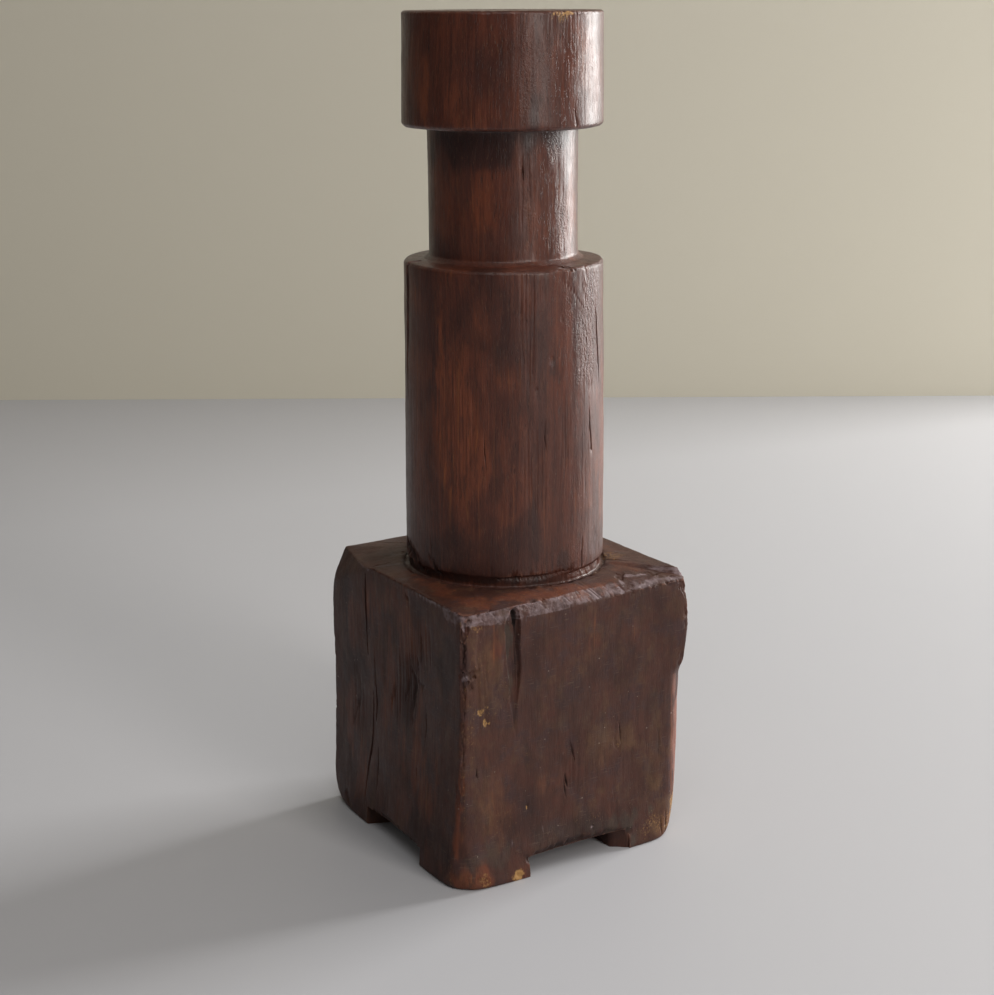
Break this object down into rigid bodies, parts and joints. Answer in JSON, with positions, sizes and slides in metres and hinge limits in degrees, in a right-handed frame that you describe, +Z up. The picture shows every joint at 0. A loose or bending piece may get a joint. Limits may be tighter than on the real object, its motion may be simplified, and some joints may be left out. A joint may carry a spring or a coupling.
{
  "type": "wooden plinth",
  "caption": "Rustic hand-carved plinth of one solid trunk: a square block on corner feet, and a round stepped column with a broad flat cap that displays an object.",
  "frame": {"origin": "on the ground, under the middle of the whole piece", "axes": "+Z up along the column, X and Y square to the block's four hewn faces; the broad bevel and the deep gouge are on the -Y face, the long drying crack is on the -X face"},
  "size_m": [0.302, 0.3064, 0.9],
  "materials": {
    "waxed_hardwood": "dark red-brown hardwood with an old wax polish, satin to glossy, worn lighter on the edges"
  },
  "bodies": {
    "root": {"carved_plinth": "waxed_hardwood"}
  },
  "joints": []
}
